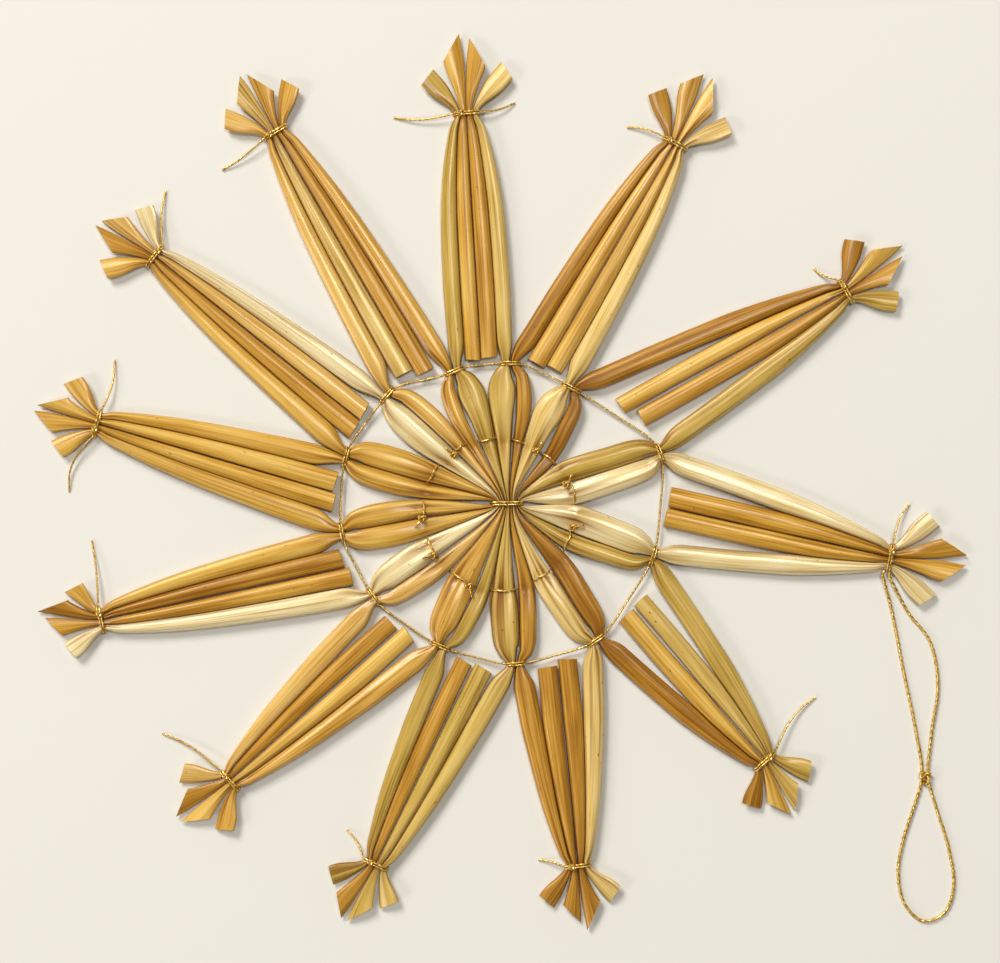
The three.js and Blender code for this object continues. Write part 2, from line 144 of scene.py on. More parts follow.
# The hanging loop's route, from the tie of LOOP_POINT round the loop and back to it.
LOOP_POINT = 3
LOOP_ROUTE = [
    (48.4, -13.6), (49.8, -20.8), (51.3, -28.0), (52.2, -34.4),
    (51.2, -38.2), (49.9, -42.2), (49.2, -46.4), (50.0, -50.4), (52.4, -52.6),
    (55.0, -51.6), (56.2, -48.2), (55.6, -43.6), (54.1, -38.6), (53.0, -34.6),
    (53.4, -29.0), (54.2, -22.8), (53.2, -17.4), (50.5, -13.8),
]
LOOP_KNOT_AT = (52.6, -34.5)
LOOP_KNOT_SIZE = (1.9, 2.2, 1.1)
LOOP_KNOT_FILL = 0.75  # share of that size inside the middle line of its thread
LOOP_KNOT_MIDDLE = 0.55
LOOP_KNOT_LOWEST = 0.25

# ---- Finish of the straws and threads ----------------------------------------------------------------
STRAW_SIDES = 32
STRAW_STEP = 0.5  # between the rings of a straw
STRAW_WALL = 0.16
LEAST_BORE = 0.04  # half the width and height of the tightest bore
HOLLOW_DEPTH = 5  # of the open ends, past which nothing is seen
PUFF = 0.65  # how steeply a straw swells beside a thread: less is steeper
ROUND = 2.3  # how boxy a free straw's section is: 2 is an ellipse
PRESSED = 2.0  # under a thread
CUT_BLADE = 1.8  # a blade's: a lens with sharp folds at its sides
BLADE_ROLL = (8, 16)  # degrees, least and most
STRAW_ROLL = 6
RESTING = 0.01  # height of what lies on the floor
CUT_SPREAD = 8  # degrees, that a cut may be off its slant
CUT_FADE = 1.6  # length over which a slanted cut fades out
PLEAT_DEPTH = 0.16  # share of the section, beside a thread
PLEAT_REACH = 2.6
PLEATS = 5
PLEAT_TURN = 3  # radians, that the pleats may turn round the straw
FOLD_DEPTH = 0.14  # share of the section, of the one fold that starts at a thread
FOLD_WIDTH = 11  # degrees of the section
FOLD_TURN = 38  # degrees, that the fold may be off the top of the straw
FOLD_RUN = 0.25  # how strong the fold stays on the half of the straws where it runs on
SIDE_SHADE_WIDTH = 18  # degrees from a straw's sides, where it presses on the next and painted shade darkens it
PLEAT_SHADE_DEPTH = 0.75  # how dark the painted shade is in the pleats and at the sides
SIDE_SHADE_DEPTH = 0.75
PINCH_SHADE_REACH = 1.2  # how far the painted shade reaches along a straw beside a thread
PATTERN_SHIFT = 37  # of the pattern from one straw to the next, so that no two are alike
STRAW_SMOOTH = 40  # degrees, up to which an edge is shaded smooth
THREAD_SMOOTH = 60

# The shade of each straw, in the order of their numbers.
LONG_SHADES = [
    "golden", "golden", "silvery", "honey", "honey", "green",
    "green", "amber", "pale", "amber", "green", "silvery",
]
SHORT_SHADES = [
    "golden", "amber", "honey", "golden", "golden", "amber", "golden", "golden",
    "green", "golden", "amber", "amber", "green", "amber", "golden", "amber",
    "golden", "amber", "golden", "golden", "amber", "honey", "pale", "amber",
]

THREAD_THICKNESS = 0.3  # over both plies
THREAD_SIDES = 12
THREAD_STEP = 0.16
TWIST_PITCH = 3.6  # thread diameters in one twist of its two plies
TWIST_DEPTH = 0.42  # share of the thread's radius, between the plies
TURN_PITCH = THREAD_THICKNESS * 1.05  # from one turn round the straws to the next
TURN_STEPS = 12
TURN_BOXY = 0.6  # less is boxier, as a thread round flat straws is
TIE_TURNS = 2
KNOT_TURNS = 2
CENTRE_TURNS = 2
KNOT_STEPS = 24
TIP_KNOT_SIZE = (0.38, 0.38, 0.16)
TIP_KNOT_ASIDE = 0.45  # share of the tie's half width
TIP_KNOT_LIFT = 0.4  # thread diameters above the turns
RUN_BEND = 0.15  # share of a run between two knots, at which it straightens
RUN_HOLD = 0.7  # how far out of a knot it starts
RUN_LIFT = 0.05
RUN_SAG = 0.1
WEAVE_LEVEL = 0.45  # share of a straw's half width that the woven thread crosses level
RING_KNOT_SIZE = (0.5, 0.42, 0.2)
RING_KNOT_LIFT = 0.05
RING_END = [(0.3, 0.1), (0.8, 0.3), (1.4, 0.2)]  # a short end: how far from its knot, and how high
RING_END_TURN = 60  # degrees, that it may be off the line outwards
LOOP_END_FROM = 0.45  # share of the way from the middle of the tie to the loop, inside the turns
LOOP_END_BETWEEN = 0.6  # share of the way from there to the loop
LOOP_END_OVERLAP = 0.12  # share of the way to the loop's next point
LOOP_END_DROP = 0.03

TAIL_SHARES = (0, 0.2, 0.45, 0.7, 1)  # of its length, where a loose end's route has a point
TAIL_BOW_REACH = 0.8  # share of a half wave that its bow follows
TAIL_LIFT = 0.3  # where it leaves the tie, above the middle of the straws
TAIL_CLEAR = 0.02  # under its tip
TAIL_DROP = 1.3  # more comes down later

# The loose ends of the tip ties: the point, the side of its spindle, its length, how far it leans
# outwards in degrees, and its bow as a share of its length.
Tail = namedtuple("Tail", "point side length lean bow")
TAILS = [
    Tail(0, 1, 7.5, 4, 0.1),
    Tail(0, -1, 4.6, 16, 0.1),
    Tail(1, 1, 4.8, -18, -0.1),
    Tail(2, 1, 3.6, -30, 0.15),
    Tail(3, 1, 5.5, 14, 0.12),
    Tail(4, 1, 8.6, -8, 0.14),
    Tail(5, -1, 3.4, -16, 0.1),
    Tail(6, -1, 4.2, -28, 0.12),
    Tail(7, -1, 8.8, 20, 0.1),
    Tail(8, -1, 8.4, -4, 0.04),
    Tail(9, 1, 7.6, 2, -0.2),
    Tail(9, -1, 6.6, 6, 0.12),
    Tail(10, -1, 7.0, 34, -0.08),
    Tail(11, 1, 6.6, -4, 0.06),
]

# The petals where the woven thread has a small knot.
RING_KNOTS = [1, 2, 3, 6, 7, 8, 10]

CENTRE = sum(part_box("centre_tie"), Vector()) / 2


# ---- Small helpers -----------------------------------------------------------------------------------
def towards(bearing):
    angle = math.radians(bearing)
    return np.array([math.cos(angle), math.sin(angle)])


def left_of(direction):
    return np.array([-direction[1], direction[0]])


def unit(direction):
    return direction / np.linalg.norm(direction)


def mix(start, end, share):
    return start + (end - start) * share


# What varies from straw to straw, each with the number that sets its draws apart.
VARIES = {
    "blade length": 1, "outer width": 2, "short end": 3, "short width": 4, "blade roll": 5,
    "pleats": 6, "straw roll": 7, "blade cut": 8, "inner cut": 9, "tone": 10,
    "fold": 17, "fold run": 18, "ring end": 19,
}


def vary(index, kind):
    """A number from -1 to 1, the same each time, for each straw and each kind of thing that varies."""
    wave = math.sin(index * 12.9898 + VARIES[kind] * 78.233) * 43758.5453
    return (wave - math.floor(wave)) * 2 - 1


def in_frame(places):
    """Millimetres from the star's centre to metres in the frame."""
    return np.asarray(places) * MM + np.array([CENTRE.x, CENTRE.y, 0])


# ---- Layout: where each straw runs -------------------------------------------------------------------
# A station is a place on a straw's middle line, with its free width, its height, how boxy and how rolled
# its section is, whether a thread pinches it there, and the slant of the cut if it is an end.
Station = namedtuple("Station", "at width height boxy roll pinched slant", defaults=(ROUND, 0, False, 0))


def knot_of(petal):
    return towards(PETALS[petal].bearing) * PETALS[petal].reach


def arm_at_knot(petal, side):
    return knot_of(petal) + left_of(towards(PETALS[petal].bearing)) * side * KNOT_PITCH / 2


Spindle = namedtuple("Spindle", "tie base axis left left_knot right_knot knot_spread tie_spread bulge")


def spindle_of(point):
    """The four straws between two knots and a tip tie, as a middle line and how far they spread from it."""
    tie = towards(POINTS[point].bearing) * POINTS[point].reach
    left_knot = arm_at_knot((point + COUNT - 1) % COUNT, -1)
    right_knot = arm_at_knot(point, 1)
    base = mix(left_knot, right_knot, 0.5)
    axis = unit(tie - base)
    left = left_of(axis)
    knot_spread = abs((left_knot - right_knot) @ left) / 2
    tie_spread = TIE_PITCH * 1.5
    bulge = max(LEAST_BULGE, SPINDLE_HALF_WIDTH - (tie_spread + knot_spread) / 2)
    return Spindle(tie, base, axis, left, left_knot, right_knot, knot_spread, tie_spread, bulge)


def bulge_at(spindle, share):
    return spindle.bulge * math.sin(math.pi * share ** BULGE_LEAN)


def outer_place(spindle, side, share):
    tied = spindle.tie + spindle.left * side * spindle.tie_spread
    knot = spindle.left_knot if side > 0 else spindle.right_knot
    return mix(tied, knot, share) + spindle.left * side * bulge_at(spindle, share)


def inner_spread(spindle, share):
    outer = mix(spindle.tie_spread, spindle.knot_spread, share)
    return min((outer + bulge_at(spindle, share)) / 3, INNER_SPREAD)


def inner_place(spindle, side, share):
    return mix(spindle.tie, spindle.base, share) + spindle.left * side * inner_spread(spindle, share)


def blade_end(point, side, spread, blade, index, lean):
    """The cut end of one blade of a fan. Neighbouring blades lean opposite ways, as pleats do."""
    spindle = spindle_of(point)
    line = math.degrees(math.atan2(spindle.axis[1], spindle.axis[0])) + POINTS[point].turn
    length = POINTS[point].fan * blade.share + BLADE_LENGTH_SPREAD * vary(index, "blade length")
    at = spindle.tie + spindle.left * side * spread + towards(line + side * blade.turn) * length
    least, most = BLADE_ROLL
    roll = lean * mix(least, most, (1 + vary(index, "blade roll")) / 2)
    slant = -side * math.tan(math.radians(blade.slant + CUT_SPREAD * vary(index, "blade cut")))
    return Station(at, BLADE_WIDTH, BLADE_HEIGHT, CUT_BLADE, roll, False, slant)


KNOT_TIE_HALF_WIDTH = KNOT_PITCH + KNOT_SLACK


def thread_at_knot(petal, side):
    across = left_of(towards(PETALS[petal].bearing))
    return knot_of(petal) + across * side * (KNOT_TIE_HALF_WIDTH + THREAD / 2)


def ring_distance(outward):
    """How far out the woven ring crosses a line from the star's centre."""
    aside = outward @ np.array(RING_CENTRE)
    return aside + math.sqrt(RING_RADIUS ** 2 - np.dot(RING_CENTRE, RING_CENTRE) + aside ** 2)


def room_beside(petal, side):
    """How much room an arm has beside its petal's line, as a share of its distance from the centre."""
    turn = abs(PETALS[(petal - side) % COUNT].bearing - PETALS[petal].bearing)
    return math.tan(math.radians(min(turn, 360 - turn) / 2))


def arm_stations(petal, side, start, half):
    """One arm of a long straw, from beside the centre to the cut end of its blade."""
    bearing, reach, split = PETALS[petal]
    outward = towards(bearing)
    across = left_of(outward)
    width = PETAL_STRAW_WIDTH * (1 + side * split)
    offset = PETAL_STRAW_WIDTH / 2 * (1 - side * split)

    def in_petal(distance, share):
        crowded = min(1, distance * room_beside(petal, side) / PETAL_STRAW_WIDTH)
        return outward * distance + across * side * mix(KNOT_PITCH / 2, offset * crowded, share)

    ring = ring_distance(outward)
    on_ring = in_petal(ring, 1)

    def fanned(share):
        aside = start * math.exp(-share * ring / CENTRE_FAN)
        return on_ring * share + np.array([aside, half * CENTRE_STRAIGHT * (1 - share)])

    point = petal if side > 0 else (petal + 1) % COUNT
    spindle = spindle_of(point)
    index = petal * 2 + (side + 1) // 2
    outer = OUTER_STRAW_WIDTH + WIDTH_SPREAD * vary(index, "outer width")
    belly = mix(ring, reach, PETAL_BELLY)
    shoulder = in_petal(reach - PETAL_SHOULDER_BEFORE, PETAL_SHOULDER_SPREAD)
    cut = blade_end(point, -side, spindle.tie_spread, OUTER_BLADE, index, half * side)
    return [
        Station(np.array([start, half * CENTRE_STRAIGHT]), width, PINCHED_HEIGHT, PRESSED, 0, True),
        Station(fanned(FANNING[0]), width, PINCHED_HEIGHT),
        Station(fanned(FANNING[1]), width, FANNING_HEIGHT),
        Station(on_ring, width, PINCHED_HEIGHT, PRESSED, 0, True),
        Station(in_petal(belly, 1), width, FULL_HEIGHT),
        Station(shoulder, width, SHOULDER_HEIGHT),
        Station(arm_at_knot(petal, side), KNOT_PITCH, PINCHED_HEIGHT, PRESSED, 0, True),
        Station(outer_place(spindle, -side, KNOT_SHOULDER_SHARE), outer, SHOULDER_HEIGHT),
        Station(outer_place(spindle, -side, BELLY_SHARE), outer, FULL_HEIGHT),
        Station(outer_place(spindle, -side, WAIST_SHARE), outer, FULL_HEIGHT),
        Station(outer_place(spindle, -side, TIE_SHOULDER_SHARE), outer, NEAR_TIE_HEIGHT),
        Station(outer_place(spindle, -side, 0), outer, PINCHED_HEIGHT, PRESSED, 0, True),
        cut,
    ]


def short_stations(point, side, index):
    """A short straw, from its free cut end beside the knot thread to the cut end of its blade."""
    spindle = spindle_of(point)
    thread_from = thread_at_knot((point + COUNT - 1) % COUNT, -1)
    thread_to = thread_at_knot(point, 1)
    thread_line = unit(thread_from - thread_to)
    slant = abs((thread_line @ spindle.axis) / (thread_line @ spindle.left))
    aside = side * inner_spread(spindle, KNOT_SHOULDER_SHARE)
    clear = SHORT_END_GAP + SHORT_STRAW_WIDTH / 2 * slant
    clear += SHORT_END_SPREAD * (1 + vary(index, "short end"))
    middle = mix(thread_from, thread_to, 0.5)
    to_axis = aside - (middle - spindle.base) @ spindle.left
    end = middle + thread_line * to_axis / (thread_line @ spindle.left) + spindle.axis * clear
    width = SHORT_STRAW_WIDTH + WIDTH_SPREAD * vary(index, "short width")
    inner_slant = math.tan(math.radians(CUT_SPREAD * vary(index, "inner cut")))
    cut = blade_end(point, side, TIE_PITCH / 2, INNER_BLADE, index + COUNT * 2, side)
    return [
        Station(end, width, FULL_HEIGHT, slant=inner_slant),
        Station(inner_place(spindle, side, BELLY_SHARE), width, FULL_HEIGHT),
        Station(inner_place(spindle, side, WAIST_SHARE), width, FULL_HEIGHT),
        Station(inner_place(spindle, side, TIE_SHOULDER_SHARE), width, NEAR_TIE_HEIGHT),
        Station(inner_place(spindle, side, 0), width, PINCHED_HEIGHT, PRESSED, 0, True),
        cut,
    ]


def long_stations(k):
    """Long straw number k from the left: from an upper petal, under the centre tie, to a lower petal."""
    start = (k - (COUNT - 1) / 2) * CENTRE_PITCH
    pair = k // 2
    side = 1 if k % 2 == 0 else -1
    upper = arm_stations((COUNT - 3 + pair) % COUNT, side, start, 1)
    lower = arm_stations(COUNT - 4 - pair, -side, start, -1)
    return upper[::-1] + lower


# ---- Curves through the stations ---------------------------------------------------------------------
def curve_through(points, step):
    """A centripetal Catmull-Rom curve: its places, with the stretch that each is on and its share of it."""
    ends = np.array(points, float)
    ends = np.vstack([2 * ends[0] - ends[1], ends, 2 * ends[-1] - ends[-2]])
    spans = np.sqrt(np.linalg.norm(np.diff(ends, axis=0), axis=1))
    places, stretches, shares = [], [], []
    for i in range(1, len(ends) - 2):
        a, b, c, d = ends[i - 1:i + 3]
        before, here, after = spans[i - 1:i + 2]
        leave = ((b - a) / before - (c - a) / (before + here) + (c - b) / here) * here
        arrive = ((c - b) / here - (d - b) / (here + after) + (d - c) / after) * here
        count = max(2, round(float(np.linalg.norm(c - b)) / step))
        for share in np.arange(count) / count:
            bend = share ** 2 * (3 * (c - b) - 2 * leave - arrive)
            places.append(b + share * leave + bend + share ** 3 * (2 * (b - c) + leave + arrive))
            stretches.append(i - 1)
            shares.append(share)
    places.append(ends[-2])
    stretches.append(len(ends) - 4)
    shares.append(1.0)
    return np.array(places), np.array(stretches), np.array(shares)


def swell(stations, field, stretches, shares):
    """The stations' values all along a straw, which puffs up at once beside a pinch and settles softly."""
    values = np.array([getattr(stop, field) for stop in stations], float)
    pinched = np.array([stop.pinched for stop in stations])
    leaving, arriving = pinched[stretches], pinched[stretches + 1]
    rise = np.sin(shares * math.pi / 2) ** PUFF
    fall = 1 - np.sin((1 - shares) * math.pi / 2) ** PUFF
    soft = shares * shares * (3 - 2 * shares)
    eased = np.where(leaving & ~arriving, rise, np.where(arriving & ~leaving, fall, soft))
    return mix(values[stretches], values[stretches + 1], eased)


def arc_lengths(places):
    return np.concatenate([[0], np.cumsum(np.linalg.norm(np.diff(places, axis=0), axis=1))])


class StrawLine:
    """A straw's middle line, with its free and squeezed half width, height and section all along."""

    def __init__(self, name, stations, index):
        self.name = name
        self.index = index
        self.places, stretches, shares = curve_through([stop.at for stop in stations], STRAW_STEP)
        self.free = swell(stations, "width", stretches, shares) / 2
        self.rise = swell(stations, "height", stretches, shares) / 2
        self.boxy = swell(stations, "boxy", stretches, shares)
        self.roll = np.radians(swell(stations, "roll", stretches, shares))
        self.along = arc_lengths(self.places)
        self.slants = stations[0].slant, stations[-1].slant
        stops = [i for i, stop in enumerate(stations) if stop.pinched]
        held = np.array([self.along[np.argmax((stretches == i) | ((stretches == i - 1) & (shares == 1)))]
                         for i in stops])
        self.from_pinch = np.abs(self.along[:, None] - held[None, :]).min(axis=1)


def squeeze(lines):
    """Each straw is as wide as its neighbours let it be."""
    everywhere = np.vstack([line.places for line in lines])
    free = np.concatenate([line.free for line in lines])
    owner = np.concatenate([np.full(len(line.places), i) for i, line in enumerate(lines)])
    for i, line in enumerate(lines):
        others = owner != i
        apart = np.linalg.norm(line.places[:, None, :] - everywhere[None, others, :], axis=2)
        room = (apart - TOUCHING) * line.free[:, None] / (line.free[:, None] + free[others][None, :])
        line.half = np.minimum(line.free, room.min(axis=1))
        ends = np.concatenate([line.half[:1], line.half, line.half[-1:]])
        line.half = np.minimum(line.half, (ends[:-2] + ends[1:-1] + ends[2:]) / 3)


# ---- Tubes: a straight blank, pressed ring by ring ---------------------------------------------------
def straight_blank(name, sides, rings):
    """A straight tube with closed ends and evenly spaced rings."""
    bpy.ops.object.select_all(action="DESELECT")
    bpy.ops.mesh.primitive_cylinder_add(vertices=sides, radius=1, depth=1, end_fill_type="NOTHING")
    blank = bpy.context.object
    blank.name = name
    blank.data.name = name
    repeat = blank.modifiers.new("repeat", "ARRAY")
    repeat.count = rings - 1
    repeat.relative_offset_displace = (0, 0, 1)
    repeat.use_merge_vertices = True
    bpy.ops.object.modifier_apply(modifier=repeat.name)
    bpy.ops.object.mode_set(mode="EDIT")
    bpy.ops.mesh.select_all(action="SELECT")
    bpy.ops.mesh.fill_holes(sides=sides)
    bpy.ops.object.mode_set(mode="OBJECT")
    return blank


def ring_and_side(blank, sides):
    """Which ring and which side of it each vertex of a blank is on."""
    flat = np.empty(len(blank.data.vertices) * 3)
    blank.data.vertices.foreach_get("co", flat)
    x, y, z = flat.reshape(-1, 3).T
    ring = np.rint(z + 0.5).astype(int)
    side = np.rint(np.arctan2(y, x) / (2 * math.pi) * sides).astype(int) % sides
    return ring, side


def press(blank, sides, surface, along, girth):
    """Moves each vertex to its place on the surface, an array by ring and side, and lays the UV in
    millimetres."""
    ring, side = ring_and_side(blank, sides)
    mesh = blank.data
    mesh.vertices.foreach_set("co", in_frame(surface[ring, side]).ravel())
    layer = mesh.uv_layers.active.data
    corners = np.empty(len(layer) * 2)
    layer.foreach_get("uv", corners)
    corners = corners.reshape(-1, 2)
    of_vertex = np.empty(len(mesh.loops), int)
    mesh.loops.foreach_get("vertex_index", of_vertex)
    corners[:, 0] *= girth
    corners[:, 1] = along[ring[of_vertex]]
    layer.foreach_set("uv", corners.ravel())
    mesh.update()
    return ring, side


def mark(blank, name, values):
    attribute = blank.data.attributes.new(name, "FLOAT", "POINT")
    attribute.data.foreach_set("value", np.asarray(values, np.float32))


def smooth(blank, angle):
    bpy.ops.object.select_all(action="DESELECT")
    blank.select_set(True)
    bpy.context.view_layer.objects.active = blank
    bpy.ops.object.shade_smooth_by_angle(angle=math.radians(angle))


# ---- Straws ------------------------------------------------------------------------------------------
def fold_beside(angle, place, width):
    """How near a direction across the section is to a fold, from 0 to 1."""
    off = np.angle(np.exp(1j * (angle - place)))
    return np.exp(-(off / math.radians(width)) ** 2)


def section(half, rise, boxy, roll, from_pinch, index):
    """Outlines of a straw's sections, by ring and side, as places across and up from its middle line, and
    how much painted shade each place gets in its pleats and folds and at its sides."""
    angle = (np.arange(STRAW_SIDES) * 2 * math.pi / STRAW_SIDES)[None, :]
    cos, sin = np.cos(angle), np.sin(angle)
    power = (2 / boxy)[:, None]
    across = half[:, None] * np.sign(cos) * np.abs(cos) ** power
    up = rise[:, None] * np.sign(sin) * np.abs(sin) ** power
    near = np.exp(-from_pinch / PLEAT_REACH)[:, None]
    pleat = (0.5 + 0.5 * np.cos(PLEATS * angle + PLEAT_TURN * vary(index, "pleats"))) ** 2
    place = math.radians(90 + FOLD_TURN * vary(index, "fold"))
    run = mix(FOLD_RUN, 1, near) if vary(index, "fold run") > 0 else near
    fold = fold_beside(angle, place, FOLD_WIDTH) * run
    under = fold_beside(angle, place + math.pi, FOLD_WIDTH) * run
    shrink = 1 - PLEAT_DEPTH * near * pleat - FOLD_DEPTH * (fold + under)
    across, up = across * shrink, up * shrink
    # Painted shade: darker in the pleats and folds, and along the sides where the straw presses on the
    # next.
    side = fold_beside(angle, 0, SIDE_SHADE_WIDTH) + fold_beside(angle, math.pi, SIDE_SHADE_WIDTH)
    creased = np.clip(PLEAT_SHADE_DEPTH * near * pleat + fold + under + SIDE_SHADE_DEPTH * side, 0, 1)
    lean = (roll + math.radians(STRAW_ROLL) * vary(index, "straw roll"))[:, None]
    return (across * np.cos(lean) - up * np.sin(lean), across * np.sin(lean) + up * np.cos(lean), creased)


def straw(line):
    """A hollow straw: one skin that goes in at each open end, as far as the eye can follow."""
    forward = np.gradient(line.places, axis=0)
    forward /= np.linalg.norm(forward, axis=1)[:, None]
    left = np.stack([-forward[:, 1], forward[:, 0]], axis=1)
    length = line.along[-1]
    fades = np.exp(-line.along / CUT_FADE), np.exp(-(length - line.along) / CUT_FADE)
    slant = line.slants[0] * fades[0] + line.slants[1] * fades[1]
    outer = section(line.half, line.rise, line.boxy, line.roll, line.from_pinch, line.index)
    bore_half = np.maximum(line.half - STRAW_WALL, LEAST_BORE)
    bore_rise = np.maximum(line.rise - STRAW_WALL, LEAST_BORE)
    inner = section(bore_half, bore_rise, line.boxy, line.roll, line.from_pinch, line.index)
    first = np.flatnonzero(line.along < HOLLOW_DEPTH)[::-1]
    last = np.flatnonzero(line.along > length - HOLLOW_DEPTH)[::-1]
    order = np.concatenate([first, np.arange(len(line.along)), last])
    inside = np.concatenate([np.ones(len(first)), np.zeros(len(line.along)), np.ones(len(last))])
    across = np.where(inside[:, None] > 0, inner[0][order], outer[0][order])
    up = np.where(inside[:, None] > 0, inner[1][order], outer[1][order])
    flat = line.places[order][:, None, :] + left[order][:, None, :] * across[..., None]
    flat = flat + forward[order][:, None, :] * (slant[order][:, None] * across)[..., None]
    height = np.maximum(MIDDLE + up, RESTING)
    surface = np.concatenate([flat, height[..., None]], axis=2)
    blank = straight_blank(line.name + "_shell", STRAW_SIDES, len(order))
    girth = 2 * math.pi * float(np.median(line.free))
    pattern_along = line.along[order] + PATTERN_SHIFT * line.index
    ring, side = press(blank, STRAW_SIDES, surface, pattern_along, girth)
    mark(blank, "inside", inside[ring])
    # Painted shade in the straw's creases and folds and along its sides.
    mark(blank, "crease_shade", outer[2][order][ring, side])
    # Painted shade beside each thread.
    mark(blank, "pinch", np.exp(-line.from_pinch / PINCH_SHADE_REACH)[order][ring])
    mark(blank, "tone", np.full(len(ring), line.tone))
    smooth(blank, STRAW_SMOOTH)
    return blank


# ---- Threads -----------------------------------------------------------------------------------------
def carried_frames(places):
    """Two directions across a route in space that turn no more than it does."""
    forward = np.gradient(places, axis=0)
    forward /= np.linalg.norm(forward, axis=1)[:, None]
    across = np.empty_like(places)
    start = np.cross(forward[0], [0, 0, 1])
    if np.linalg.norm(start) < 0.1:
        start = np.cross(forward[0], [1, 0, 0])
    across[0] = unit(start)
    for i in range(1, len(places)):
        across[i] = unit(across[i - 1] - forward[i] * (across[i - 1] @ forward[i]))
    return across, np.cross(across, forward)


def strand(name, points, diameter):
    """A thread of two plies twisted together, along a smooth route through the points."""
    places = curve_through(points, THREAD_STEP)[0]
    places[:, 2] = np.maximum(places[:, 2], diameter / 2 + RESTING)
    along = arc_lengths(places)
    left, up = carried_frames(places)
    angle = np.arange(THREAD_SIDES) * 2 * math.pi / THREAD_SIDES
    twist = 2 * math.pi * along / (TWIST_PITCH * diameter)
    ply = np.cos(angle[None, :] - twist[:, None]) ** 2
    reach = diameter / 2 * (1 - TWIST_DEPTH * (1 - ply))
    surface = places[:, None, :] + left[:, None, :] * (reach * np.cos(angle))[..., None]
    surface = surface + up[:, None, :] * (reach * np.sin(angle))[..., None]
    blank = straight_blank(name, THREAD_SIDES, len(places))
    press(blank, THREAD_SIDES, surface, along, math.pi * diameter)
    smooth(blank, THREAD_SMOOTH)
    return blank, places


def joined(name, parts):
    bpy.ops.object.select_all(action="DESELECT")
    for part in parts:
        part.select_set(True)
    bpy.context.view_layer.objects.active = parts[0]
    bpy.ops.object.join()
    parts[0].name = name
    parts[0].data.name = name
    return parts[0]


# How high the middle line of a thread goes above and below the middle of pinched straws.
THREAD_RISE = (PINCHED_HEIGHT + THREAD_THICKNESS) / 2


def winding(at, along, half_width, turns):
    """A route wound round flat straws, turn beside turn."""
    across = left_of(along)
    route = []
    for i in range(turns * TURN_STEPS + 1):
        angle = 2 * math.pi * i / TURN_STEPS - math.pi / 2
        cos, sin = math.cos(angle), math.sin(angle)
        x = half_width * math.copysign(abs(cos) ** TURN_BOXY, cos)
        z = THREAD_RISE * math.copysign(abs(sin) ** TURN_BOXY, sin)
        y = (i / TURN_STEPS - turns / 2) * TURN_PITCH
        flat = at + across * x + along * y
        route.append((flat[0], flat[1], MIDDLE + z))
    return route


def overhand_knot(at, size):
    """A small knot pulled tight."""
    route = []
    for i in range(KNOT_STEPS + 1):
        turn = 2 * math.pi * i / KNOT_STEPS
        x = (math.sin(turn) + 2 * math.sin(2 * turn)) / 3
        y = (math.cos(turn) - 2 * math.cos(2 * turn)) / 3
        z = -math.sin(3 * turn)
        route.append((at[0] + x * size[0], at[1] + y * size[1], at[2] + z * size[2]))
    return route


def tail_route(start, line, length, bow):
    """The loose end of a tie: it stands off sideways and comes down to the floor."""
    aside = left_of(line) * length * bow
    high, low = MIDDLE + TAIL_LIFT, THREAD_THICKNESS / 2 + TAIL_CLEAR
    route = []
    for share in TAIL_SHARES:
        flat = start + line * length * share + aside * math.sin(math.pi * share * TAIL_BOW_REACH)
        route.append((flat[0], flat[1], mix(high, low, share ** TAIL_DROP)))
    return route


def loop_ends():
    """Where the two strands of the hanging loop leave their tie."""
    spindle = spindle_of(LOOP_POINT)
    beside = -(TIE_PITCH * 2 + TIP_SLACK + THREAD + LOOP_START_GAP)
    return [spindle.tie + spindle.left * beside + spindle.axis * shift
            for shift in (-LOOP_DIAMETER, LOOP_DIAMETER)]


def tip_tie(point):
    """The thread wound round a point's four straws, its knot and its loose ends."""
    spindle = spindle_of(point)
    name = f"tip_tie_{point + 1:02d}"
    half_width = TIE_PITCH * 2 + THREAD_THICKNESS / 2
    turns = winding(spindle.tie, spindle.axis, half_width, TIE_TURNS)
    parts = [strand(name + "_wound", turns, THREAD_THICKNESS)[0]]
    tails = [tail for tail in TAILS if tail.point == point]
    knot_at = spindle.tie + spindle.left * tails[0].side * half_width * TIP_KNOT_ASIDE
    top = MIDDLE + THREAD_RISE + THREAD_THICKNESS * TIP_KNOT_LIFT
    knot = overhand_knot((*knot_at, top), TIP_KNOT_SIZE)
    parts.append(strand(name + "_knot", knot, THREAD_THICKNESS)[0])
    for number, tail in enumerate(tails):
        lean = math.radians(tail.lean)
        line = spindle.left * tail.side * math.cos(lean) + spindle.axis * math.sin(lean)
        start = spindle.tie + spindle.left * tail.side * half_width
        route = tail_route(start, line, tail.length, tail.bow * tail.side)
        parts.append(strand(name + f"_tail_{number}", route, THREAD_THICKNESS)[0])
    if point == LOOP_POINT:
        parts += loop_in_tie(spindle)
    return joined(name + "_thread", parts)


def loop_in_tie(spindle):
    """The ends of the hanging loop's two strands, held under the turns of its tie."""
    parts = []
    for end, follows in zip(loop_ends(), (LOOP_ROUTE[0], LOOP_ROUTE[-1])):
        tied = mix(spindle.tie, end, LOOP_END_FROM)
        between = mix(tied, end, LOOP_END_BETWEEN)
        meets = mix(end, np.array(follows), LOOP_END_OVERLAP)
        route = [(*tied, MIDDLE), (*between, MIDDLE), (*end, MIDDLE), (*meets, MIDDLE - LOOP_END_DROP)]
        parts.append(strand("loop_end", route, LOOP_DIAMETER)[0])
    return parts


